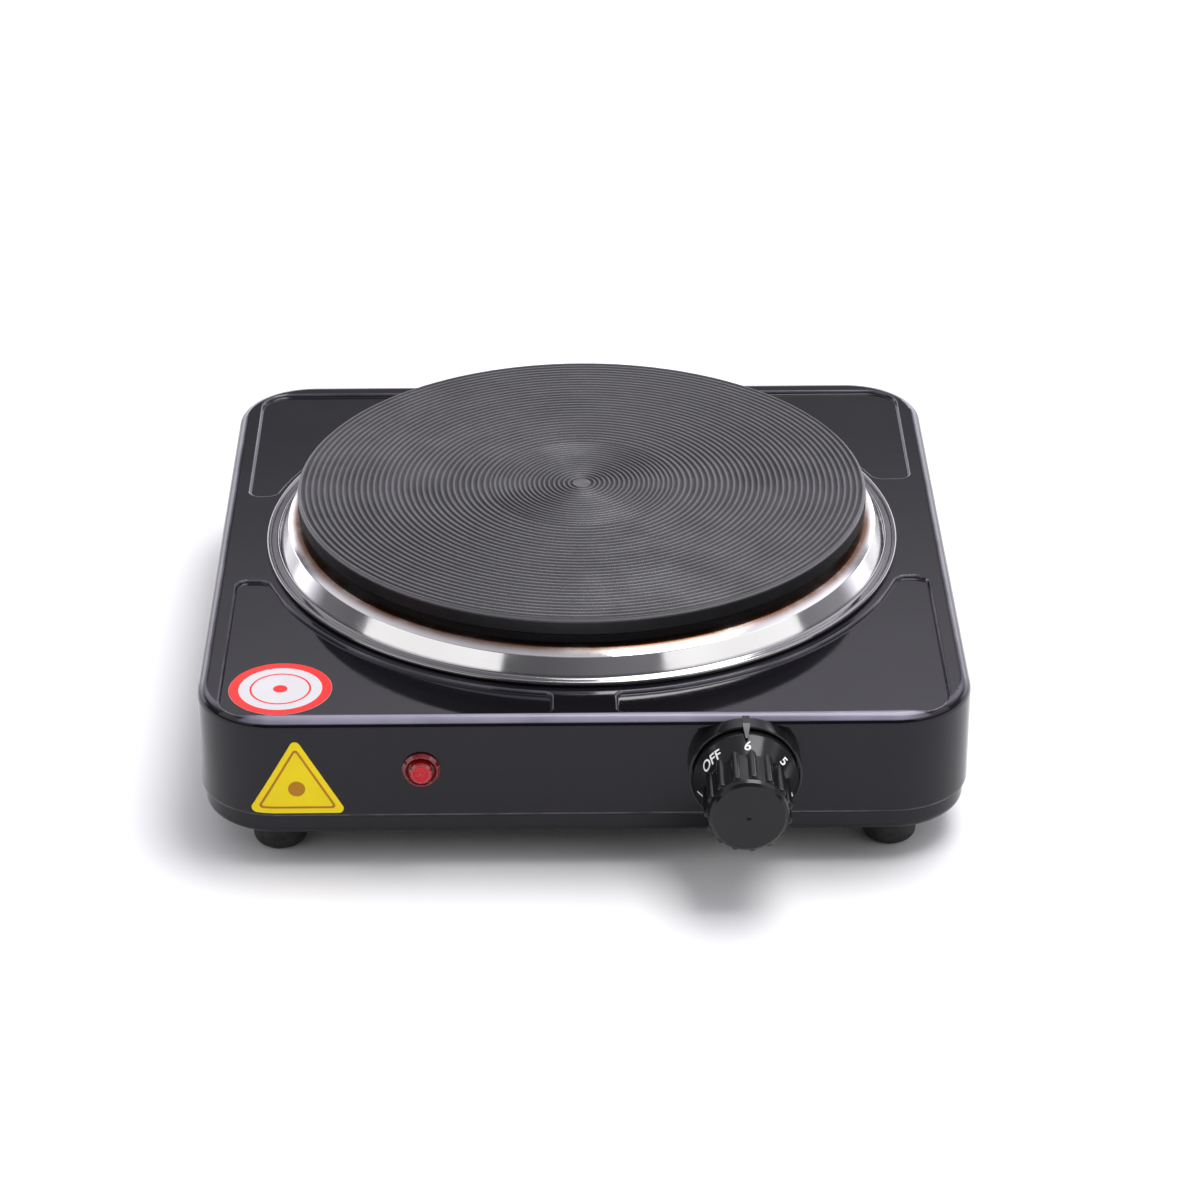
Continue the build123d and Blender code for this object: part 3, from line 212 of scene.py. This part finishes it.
def black_enamel():
    """Fired enamel: near black and a little hazy, with painted highlights along the seam, on the rounded edges
    under the flat top and along the front's rounded edge.
    """
    f = Finish("black_enamel", (0.006, 0.0055, 0.007), 0.1, specular_ior_level=0.3,
               specular_tint=(0.95, 0.92, 1.0, 1.0))
    height = f.axis(2)
    mottled = f.mix(f.noise(18), (0.004, 0.0037, 0.0048), (0.008, 0.0074, 0.0094))

    # the shell's lower edge, painted bright as a highlight, and the dull crack under it
    seam, sharp = body_low.z, 0.02 * MM
    rim_full, rim_end = 0.3 * MM, 0.7 * MM
    crack_top, crack_bottom = 0.2 * MM, 1.6 * MM
    rim = f.math("MULTIPLY", f.span(height, seam - sharp, seam + sharp),
                 f.span(height, seam + rim_end, seam + rim_full))
    # the painted seam highlight, made patchy by noise
    wear_and_highlight = f.math("MULTIPLY", rim, f.span(f.noise(130, 5), 0.3, 0.6, 0.35, 1.0))
    edge = f.mix(wear_and_highlight, mottled, (0.085, 0.082, 0.086))
    crack = f.math("MULTIPLY", f.span(height, seam - crack_bottom, seam - crack_top),
                   f.span(height, seam + sharp, seam - sharp))

    # dust at the tray's foot
    bottom, dust_full, dust_end = tray_low.z, 0.2 * MM, 1.5 * MM
    dusty = f.span(height, bottom + dust_end, bottom + dust_full, 0.0, 0.5)
    based = f.mix(dusty, edge, (0.030, 0.013, 0.008))

    # a painted highlight on the rounded edges just under the flat top
    top = body_high.z
    highlight_start, highlight_full = 0.9 * MM, 0.35 * MM
    highlight_fade, highlight_end = 0.12 * MM, 0.01 * MM
    shoulder = f.math("MULTIPLY", f.span(height, top - highlight_start, top - highlight_full),
                      f.span(height, top - highlight_end, top - highlight_fade))
    # thin is the mask of this painted highlight, made patchy by noise
    thin = f.math("MULTIPLY", shoulder, f.span(f.noise(35, 4), 0.3, 0.65, 0.35, 0.9))
    rounded = f.mix(thin, based, (0.115, 0.108, 0.135))

    # a painted highlight strip along the front's rounded edge, which fades towards the corners
    front = body_low.y
    strip_start, strip_full = 1.9 * MM, 1.4 * MM
    strip_end, strip_fade = 3.6 * MM, 2.9 * MM
    corner_start, corner_full = 9 * MM, 24 * MM
    strip = f.math("MULTIPLY", f.span(height, top - strip_start, top - strip_full),
                   f.span(f.axis(1), front + strip_end, front + strip_fade))
    ends = f.math("MULTIPLY", f.span(f.axis(0), body_low.x + corner_start, body_low.x + corner_full),
                  f.span(f.axis(0), body_high.x - corner_start, body_high.x - corner_full))
    cloudy = f.span(f.noise(24, 4), 0.3, 0.6, 0.6, 0.95)
    # polished is the mask of this painted highlight strip
    polished = f.math("MULTIPLY", f.math("MULTIPLY", strip, ends), cloudy)
    f.colour(f.mix(polished, rounded, (0.25, 0.235, 0.30)))

    haze = f.span(f.noise(11, 6), 0.4, 0.75, 0.05, 0.11)
    specks = f.span(f.noise(900, 2), 0.72, 0.8, 0.0, 0.1)
    f.rough(f.math("ADD", f.math("ADD", haze, specks), f.math("MULTIPLY", crack, 0.85)))
    f.bump(f.noise(260, 2), 0.05, 0.15 * MM)
    return f


def cast_iron():
    """Turned iron with a dark coat: grooves darkened with painted shade, lighter lands between them, warmer
    towards the right.
    """
    f = Finish("cast_iron", (0.06, 0.058, 0.062), 0.42, 0.45, anisotropic=0.7, specular_ior_level=0.4)
    f.put(f.shader, "Tangent", f.node("ShaderNodeTangent", direction_type="RADIAL", axis="Z").outputs[0])
    radius, height, top = f.radius_from(tuple(plate_axis)), f.axis(2), plate_high.z

    warm_reach, warm_edge, warm_full = 60 * MM, 75 * MM, 20 * MM
    warm = f.math("MULTIPLY", f.span(f.axis(0), 0.0, warm_reach), f.span(radius, warm_edge, warm_full))
    grain = f.mix(f.noise(160, 8), (0.058, 0.055, 0.060), (0.108, 0.102, 0.110))
    warmed = f.mix(f.math("MULTIPLY", warm, 0.5), grain, (0.125, 0.104, 0.096))

    # the rim's upper edge, worn
    wear_start, wear_full = 1.4 * MM, 0.6 * MM
    wear_bottom, wear_top = 1.6 * MM, 0.4 * MM
    rim_wear = f.math("MULTIPLY", f.span(radius, plate_rim - wear_start, plate_rim - wear_full),
                      f.span(height, top - wear_bottom, top - wear_top, 0.0, 0.45))
    wear_and_highlight = f.mix(rim_wear, warmed, (0.19, 0.185, 0.19))

    # painted shade in the grooves, as shares of their depth, and a dark side wall
    groove_start, groove_full = 0.08 * GROOVE_DEPTH, 0.4 * GROOVE_DEPTH
    outer_end, outer_full = 0.4 * MM, 0.9 * MM
    wall_top, wall_full = 0.9 * MM, 1.6 * MM
    groove_shade = f.math("MULTIPLY", f.span(height, top - groove_start, top - groove_full),
                    f.span(radius, plate_rim - outer_end, plate_rim - outer_full))
    wall = f.span(height, top - wall_top, top - wall_full)
    dark = f.math("MAXIMUM", f.math("MULTIPLY", groove_shade, 0.97), f.math("MULTIPLY", wall, 0.85))
    f.colour(f.mix(dark, wear_and_highlight, (0.008, 0.008, 0.009)))
    f.rough(f.span(f.noise(60, 6), 0.3, 0.7, 0.36, 0.5))
    f.bump(f.noise(900, 4), 0.3, 0.05 * MM)
    return f


def bright_steel():
    """Polished drip ring, tinted brown by heat beside the plate, with painted shade darkening its flat foot."""
    clean = (0.66, 0.65, 0.65)
    f = Finish("bright_steel", clean, 0.1, 1.0)
    radius = f.radius_from(tuple(plate_axis))
    tint_end, tint_full = 3.2 * MM, 0.6 * MM
    tint = f.span(radius, plate_rim + tint_end, plate_rim + tint_full)
    patchy = f.math("MULTIPLY", tint, f.span(f.noise(60, 5), 0.2, 0.6, 0.55, 1.0))
    tinted = f.mix(patchy, clean, (0.14, 0.065, 0.035))
    # painted shade: the flat foot's colour is made darker
    foot_start, foot_full = 4.6 * MM, 4.0 * MM
    foot = f.span(radius, ring_rim - foot_start, ring_rim - foot_full)
    f.colour(f.mix(f.math("MULTIPLY", foot, 0.8), tinted, (0.14, 0.135, 0.14)))
    f.rough(f.math("ADD", f.span(f.noise(90, 6), 0.3, 0.8, 0.06, 0.16), f.math("MULTIPLY", tint, 0.25)))
    f.bump(f.noise(45, 2), 0.05, 0.4 * MM)
    return f


def black_plastic():
    """Moulded phenolic: glossy, unevenly polished, with a fine grain."""
    f = Finish("black_plastic", (0.01, 0.01, 0.011), 0.2, specular_ior_level=0.3)
    f.colour(f.mix(f.noise(70, 6), (0.005, 0.005, 0.0055), (0.010, 0.010, 0.011)))
    f.rough(f.span(f.noise(120, 5), 0.3, 0.75, 0.13, 0.24))
    f.bump(f.noise(1800, 3), 0.12, 0.03 * MM)
    return f


def red_lens():
    """Clear red moulding: a deep red flange round a glowing middle."""
    f = Finish("red_lens", (0.3, 0.004, 0.008), 0.12, coat_weight=0.5, coat_roughness=0.04,
               specular_ior_level=0.5)
    radius = f.radius_from(tuple(lamp_centre), (1, 0, 1))
    fade_out, fade_in = 0.5 * MM, 0.3 * MM
    glow = f.span(radius, LENS_MIDDLE + fade_out, LENS_MIDDLE - fade_in)
    cloudy = f.mix(f.noise(500, 3), (0.11, 0.0015, 0.003), (0.19, 0.003, 0.006))
    f.colour(f.mix(glow, cloudy, (0.24, 0.003, 0.006)))
    f.put(f.shader, "Emission Color", (1.0, 0.03, 0.05, 1.0))
    f.put(f.shader, "Emission Strength", f.math("MULTIPLY", glow, 0.1))
    f.rough(f.span(f.noise(300), 0.3, 0.7, 0.08, 0.16))
    f.bump(f.noise(1400, 2), 0.1, 0.04 * MM)
    return f


def lens_points():
    """The knurl's points, lit through from behind."""
    f = Finish("lens_points", (0.6, 0.03, 0.05), 0.1, specular_ior_level=0.4)
    f.colour(f.mix(f.noise(700, 3), (0.34, 0.008, 0.014), (0.52, 0.020, 0.032)))
    f.put(f.shader, "Emission Color", (1.0, 0.04, 0.07, 1.0))
    f.put(f.shader, "Emission Strength", 0.3)
    f.rough(f.span(f.noise(300), 0.3, 0.7, 0.08, 0.18))
    f.bump(f.noise(2000, 2), 0.1, 0.02 * MM)
    return f


def rubber_black():
    """Moulded rubber, dull, with a little dust."""
    f = Finish("rubber_black", (0.02, 0.02, 0.02), 0.75)
    dust = f.span(f.noise(90, 8), 0.5, 0.8, 0.0, 0.5)
    f.colour(f.mix(dust, (0.016, 0.016, 0.016), (0.05, 0.048, 0.045)))
    f.rough(f.span(f.noise(300, 4), 0.3, 0.7, 0.62, 0.88))
    f.bump(f.noise(1500, 4), 0.3, 0.05 * MM)
    return f


def sticker(name, colour, shade):
    """Coated paper or film, slightly uneven and faintly soiled."""
    f = Finish(name, colour, 0.35, specular_ior_level=0.22)
    f.colour(f.mix(f.span(f.noise(35, 6), 0.35, 0.8), colour, shade))
    f.rough(f.span(f.noise(160, 4), 0.3, 0.7, 0.28, 0.45))
    f.bump(f.noise(700, 3), 0.1, 0.03 * MM)
    return f


def grained(name, dark, light, rough_range, metallic, scale, bump, stretch=None):
    """A plain metal, ceramic or sleeve: mottled colour, uneven gloss and a fine relief."""
    f = Finish(name, light, rough_range[0], metallic)
    grain = f.noise(scale, 6, stretch=stretch)
    f.colour(f.mix(grain, dark, light))
    f.rough(f.span(grain, 0.3, 0.7, *rough_range))
    f.bump(f.noise(scale * 6, 3, stretch=stretch), bump, 0.05 * MM)
    return f


def make_finishes():
    made = [
        black_enamel(),
        cast_iron(),
        bright_steel(),
        black_plastic(),
        red_lens(),
        lens_points(),
        rubber_black(),
        sticker("yellow_label", (0.98, 0.76, 0.003), (0.90, 0.68, 0.003)),
        sticker("white_label", (0.55, 0.54, 0.56), (0.48, 0.47, 0.49)),
        sticker("red_print", (0.76, 0.022, 0.018), (0.64, 0.016, 0.014)),
        sticker("amber_print", (0.52, 0.22, 0.01), (0.44, 0.18, 0.01)),
        sticker("white_print", (0.82, 0.82, 0.82), (0.70, 0.70, 0.70)),
        grained("zinc_steel", (0.42, 0.43, 0.44), (0.62, 0.63, 0.65), (0.28, 0.48), 1.0, 120, 0.15),
        grained("spring_steel", (0.34, 0.34, 0.36), (0.52, 0.52, 0.54), (0.22, 0.4), 1.0, 90, 0.1, (1, 1, 8)),
        grained("brass", (0.52, 0.36, 0.13), (0.78, 0.60, 0.28), (0.2, 0.42), 1.0, 150, 0.1),
        grained("silver_contact", (0.62, 0.62, 0.60), (0.84, 0.84, 0.82), (0.2, 0.35), 1.0, 300, 0.1),
        grained("ceramic", (0.74, 0.71, 0.65), (0.87, 0.85, 0.80), (0.45, 0.65), 0.0, 200, 0.2),
        grained("magnesia", (0.48, 0.46, 0.43), (0.66, 0.64, 0.60), (0.8, 0.95), 0.0, 400, 0.5),
        grained("white_nylon", (0.72, 0.72, 0.70), (0.83, 0.83, 0.81), (0.4, 0.55), 0.0, 150, 0.1),
        grained("bulb_glass", (0.78, 0.62, 0.58), (0.90, 0.76, 0.72), (0.05, 0.12), 0.0, 80, 0.03),
        grained("lead_sleeve", (0.60, 0.56, 0.50), (0.80, 0.77, 0.71), (0.7, 0.9), 0.0, 900, 0.5),
        grained("earth_sleeve", (0.10, 0.34, 0.05), (0.62, 0.62, 0.06), (0.45, 0.6), 0.0, 120, 0.1),
        grained("resistor_sleeve", (0.03, 0.03, 0.03), (0.06, 0.06, 0.06), (0.5, 0.7), 0.0, 300, 0.2),
    ]
    return {f.name: f.material for f in made}


def paint(obj, material):
    if not obj.material_slots:
        obj.data.materials.append(material)
    for place in obj.material_slots:
        place.material = material


# ---------------------------------------------------------------- printed pieces
def add_piece(name, vertices, faces, material, body):
    mesh = bpy.data.meshes.new(name)
    mesh.from_pydata(vertices, [], faces)
    mesh.validate()
    obj = bpy.data.objects.new(name, mesh)
    bpy.context.scene.collection.objects.link(obj)
    paint(obj, material)
    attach(obj, body)
    return obj


def rounded_loop(corners, radius, steps=10):
    """A convex outline, given anticlockwise, with its corners rounded."""
    loop = []
    for before, corner, after in zip(corners[-1:] + corners[:-1], corners, corners[1:] + corners[:1]):
        here = Vector(corner)
        back, ahead = (Vector(before) - here).normalized(), (Vector(after) - here).normalized()
        half = back.angle(ahead) / 2
        centre = here + (back + ahead).normalized() * (radius / math.sin(half))
        start = here + back * (radius / math.tan(half)) - centre
        turn = math.pi - 2 * half
        for step in range(steps + 1):
            angle = turn * step / steps
            c, s = math.cos(angle), math.sin(angle)
            loop.append((centre.x + c * start.x - s * start.y, centre.y + s * start.x + c * start.y))
    return loop


def band(name, outer, inner, place, material, body, slot):
    """Printed line between two outlines with matching points, as a thin closed solid."""
    count = len(outer)
    vertices = []
    for lift in (0.0, PRINT_THICKNESS):
        vertices += [place(u, v, lift) for u, v in outer] + [place(u, v, lift) for u, v in inner]
    faces = []
    for i in range(count):
        j = (i + 1) % count
        o0, o1, n0, n1 = i, j, count + i, count + j
        up = 2 * count
        faces += [(o0 + up, o1 + up, n1 + up, n0 + up), (o1, o0, n0, n1)]
        faces += [(o0, o1, o1 + up, o0 + up), (n1, n0, n0 + up, n1 + up)]
    return add_piece(name, vertices, faces, material, body)


def patch(name, outline, place, material, body, slot):
    """Printed area inside an outline, as a thin closed solid."""
    count = len(outline)
    vertices = [place(u, v, lift) for lift in (0.0, PRINT_THICKNESS) for u, v in outline]
    faces = [tuple(range(count, 2 * count)), tuple(reversed(range(count)))]
    for i in range(count):
        j = (i + 1) % count
        faces.append((i, j, j + count, i + count))
    return add_piece(name, vertices, faces, material, body)


def on_front(x, z, lift):
    """Point on the front sticker, which follows the body's rounded corner."""
    reach = label_thickness + lift
    centre_x = body_low.x + CORNER_RADIUS
    centre_y = body_low.y + CORNER_RADIUS
    if x >= centre_x:
        return (x, body_low.y - reach, z)
    angle = math.asin((centre_x - x) / CORNER_RADIUS)
    radius = CORNER_RADIUS + reach
    return (centre_x - radius * math.sin(angle), centre_y - radius * math.cos(angle), z)


def on_disc(u, v, lift):
    """Point on the round sticker, from its centre."""
    return (disc_centre.x + u, disc_centre.y + v, disc_high.z + lift)


def circle(radius, count=96):
    return [(radius * math.cos(2 * math.pi * k / count), radius * math.sin(2 * math.pi * k / count))
            for k in range(count)]


def triangle(inset):
    """The front sticker's triangle, moved inwards."""
    left, right = label_low.x - LABEL_SIDE_REACH, label_high.x + LABEL_SIDE_REACH
    low, high = label_low.z, label_high.z + LABEL_TOP_REACH
    middle = (left + right) / 2
    slope = math.atan2(high - low, middle - left)
    side = inset / math.tan(slope / 2)
    return [(left + side, low + inset), (right - side, low + inset), (middle, high - inset / math.cos(slope))]


def densify(loop, steps):
    """Adds the same number of points to each side, so that two outlines keep matching points."""
    shortest_side = 5 * MM
    made = []
    for (x0, y0), (x1, y1) in zip(loop, loop[1:] + loop[:1]):
        count = steps if math.dist((x0, y0), (x1, y1)) > shortest_side else 1
        made += [(x0 + (x1 - x0) * k / count, y0 + (y1 - y0) * k / count) for k in range(count)]
    return made


def print_front_label(finishes):
    """An ornament only: a thin amber line and a plain amber dot."""
    outer, inner = (
        densify(rounded_loop(triangle(inset), radius), LABEL_STEPS) for inset, radius in LABEL_LINE
    )
    args = (on_front, finishes["amber_print"], "appliance", "yellow_label")
    band("front_label_line", outer, inner, *args)
    dot_height = label_low.z + LABEL_DOT_HEIGHT
    dot = [(label_middle + u, dot_height + v) for u, v in circle(LABEL_DOT_RADIUS, DOT_POINTS)]
    patch("front_label_dot", dot, *args)


def print_round_label(finishes):
    """An ornament only: a red edge, a thin inner ring and a dot."""
    args = (on_disc, finishes["red_print"], "appliance", "white_label")
    for name, (outside, inside) in (("round_label_edge", DISC_EDGE), ("round_label_ring", DISC_RING)):
        band(name, circle(disc_radius - outside), circle(disc_radius - inside), *args)
    patch("round_label_dot", circle(DISC_DOT_RADIUS, DOT_POINTS), *args)


def knurl_lens(finishes):
    """Diamond knurling over the lens's middle: small four-sided points, cut to a disc."""
    half = KNURL_HALF
    count = math.ceil(2 * KNURL_REACH / KNURL_PITCH)
    vertices, faces = [], []
    for row in range(-count, count + 1):
        for column in range(-count, count + 1):
            u, v = (row + column) * KNURL_PITCH / 2, (row - column) * KNURL_PITCH / 2
            if math.hypot(u, v) + KNURL_PITCH / 2 > KNURL_REACH:
                continue
            start = len(vertices)
            base = [(u - half, v), (u, v - half), (u + half, v), (u, v + half)]
            vertices += [(lamp_centre.x + a, lens_low.y, lamp_centre.z + b) for a, b in base]
            vertices.append((lamp_centre.x + u, lens_low.y - KNURL_HEIGHT, lamp_centre.z + v))
            faces += [(start + k, start + (k + 1) % 4, start + 4) for k in range(4)]
            faces.append((start + 3, start + 2, start + 1, start))
    add_piece("lens_knurl", vertices, faces, finishes["lens_points"], "appliance")


def on_cone(angle, u, v, lift):
    """Point on the knob's cone: u along the turn, v up the slope towards the body."""
    middle = [(a + b) / 2 for a, b in zip(CONE_REAR, CONE_FRONT)]
    drop = (CONE_REAR[0] - CONE_FRONT[0], CONE_FRONT[1] - CONE_REAR[1])
    length = math.hypot(*drop)
    out, back = drop[0] / length, drop[1] / length
    radius = middle[0] + v * out + lift * back
    forward = middle[1] - v * back + lift * out
    turned = angle + u / radius
    return knob_origin + Vector((radius * math.sin(turned), -forward, radius * math.cos(turned)))


def print_dial_marks(finishes):
    """OFF and the heat settings round the knob's cone, equally spaced."""
    for count, text in enumerate(DIAL_MARKS):
        curve = bpy.data.curves.new("mark", "FONT")
        curve.body = text
        curve.size = DIGIT_SIZE if len(text) == 1 else WORD_SIZE
        curve.align_x = "CENTER"
        curve.align_y = "CENTER"
        curve.extrude = PRINT_THICKNESS / 2
        curve.offset = STROKE_GROWTH
        curve.shear = MARK_SLANT
        source = bpy.data.objects.new("mark", curve)
        bpy.context.scene.collection.objects.link(source)
        bpy.context.view_layer.update()
        evaluated = source.evaluated_get(bpy.context.evaluated_depsgraph_get())
        mesh = bpy.data.meshes.new_from_object(evaluated)
        bpy.data.objects.remove(source)
        angle = 2 * math.pi * count / len(DIAL_MARKS)
        for vertex in mesh.vertices:
            vertex.co = on_cone(angle, vertex.co.x, vertex.co.y, vertex.co.z + PRINT_THICKNESS)
        mark = bpy.data.objects.new(f"dial_mark_{text.lower()}", mesh)
        bpy.context.scene.collection.objects.link(mark)
        paint(mark, finishes["white_print"])
        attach(mark, "knob")


# ---------------------------------------------------------------- studio
def make_camera():
    data = bpy.data.cameras.new("camera")
    data.lens = CAMERA_LENS
    data.sensor_width = SENSOR_WIDTH
    camera = bpy.data.objects.new("camera", data)
    bpy.context.scene.collection.objects.link(camera)
    pitch, yaw, roll = (math.radians(a) for a in (CAMERA_PITCH, CAMERA_YAW, CAMERA_ROLL))
    forward = Vector((math.sin(yaw) * math.cos(pitch), math.cos(yaw) * math.cos(pitch), -math.sin(pitch)))
    right = Vector((math.cos(yaw), -math.sin(yaw), 0))
    up = right.cross(forward)
    rolled_right = right * math.cos(roll) + up * math.sin(roll)
    rolled_up = up * math.cos(roll) - right * math.sin(roll)
    turn = Matrix((rolled_right, rolled_up, -forward)).transposed().to_4x4()
    camera.matrix_world = Matrix.Translation(CAMERA_PLACE) @ turn
    bpy.context.scene.camera = camera
    bpy.context.scene.view_settings.view_transform = "Standard"


def make_floor():
    corners = [(x * FLOOR_HALF, y * FLOOR_HALF, 0) for x, y in ((-1, -1), (1, -1), (1, 1), (-1, 1))]
    mesh = bpy.data.meshes.new("floor")
    mesh.from_pydata(corners, [], [(0, 1, 2, 3)])
    floor = bpy.data.objects.new("floor", mesh)
    bpy.context.scene.collection.objects.link(floor)
    f = Finish("floor", (0.82, 0.82, 0.82), 0.8)
    f.colour(f.mix(f.noise(3), (0.815, 0.815, 0.815), (0.825, 0.825, 0.825)))
    paint(floor, f.material)


def area_light(name, place, target, size, power):
    data = bpy.data.lights.new(name, "AREA")
    data.shape = "RECTANGLE"
    data.size, data.size_y = size
    data.energy = power
    light = bpy.data.objects.new(name, data)
    light.location = place
    light.rotation_mode = "QUATERNION"
    light.rotation_quaternion = (Vector(target) - Vector(place)).to_track_quat("-Z", "Y")
    bpy.context.scene.collection.objects.link(light)


def make_world():
    """A dim room: brighter behind the object and to its right, darkest behind the camera."""
    world = bpy.data.worlds.new("world")
    world.use_nodes = True
    tree = world.node_tree
    direction = tree.nodes.new("ShaderNodeTexCoord").outputs["Generated"]
    axes = tree.nodes.new("ShaderNodeSeparateXYZ")
    tree.links.new(direction, axes.inputs[0])

    def ramp(axis, span, to_low, to_high):
        node = tree.nodes.new("ShaderNodeMapRange")
        node.interpolation_type = "SMOOTHSTEP"
        tree.links.new(axes.outputs[axis], node.inputs["Value"])
        for socket, value in zip(("From Min", "From Max", "To Min", "To Max"), (*span, to_low, to_high)):
            node.inputs[socket].default_value = value
        return node.outputs[0]

    def times(a, b):
        node = tree.nodes.new("ShaderNodeMath")
        node.operation = "MULTIPLY"
        tree.links.new(a, node.inputs[0])
        tree.links.new(b, node.inputs[1])
        return node.outputs[0]

    depth = ramp(1, DEPTH_SPAN, WORLD_FRONT, WORLD_REAR)
    across = ramp(0, ACROSS_SPAN, WORLD_LEFT, WORLD_RIGHT)
    height = ramp(2, HEIGHT_SPAN, WORLD_LOW, WORLD_HIGH)
    horizon = times(ramp(2, HORIZON_SPAN, 0.0, WORLD_HORIZON), ramp(1, BACKDROP_SPAN, 0.0, 1.0))
    room = times(times(depth, across), height)
    total = tree.nodes.new("ShaderNodeMath")
    tree.links.new(room, total.inputs[0])
    tree.links.new(horizon, total.inputs[1])
    background = tree.nodes["Background"]
    background.inputs["Color"].default_value = WORLD_COLOUR
    tree.links.new(total.outputs[0], background.inputs["Strength"])
    bpy.context.scene.world = world


def make_lights():
    """One box above, to the right, and one on each side in front, which the bright ring mirrors."""
    area_light("top_box", TOP_PLACE, (0, 0, 0), TOP_SIZE, TOP_POWER)
    x, y, z = SIDE_PLACE
    for name, side in (("left_box", -1), ("right_box", 1)):
        area_light(name, (side * x, y, z), SIDE_TARGET, SIDE_SIZE, SIDE_POWER)


# ---------------------------------------------------------------- the whole scene
make_camera()
make_world()
make_lights()
make_floor()
finishes = make_finishes()
for row in frame["record"]["subparts"]:
    paint(frame["nodes"][row["node"]], finishes[row["material_slot"]])
print_front_label(finishes)
print_round_label(finishes)
knurl_lens(finishes)
print_dial_marks(finishes)
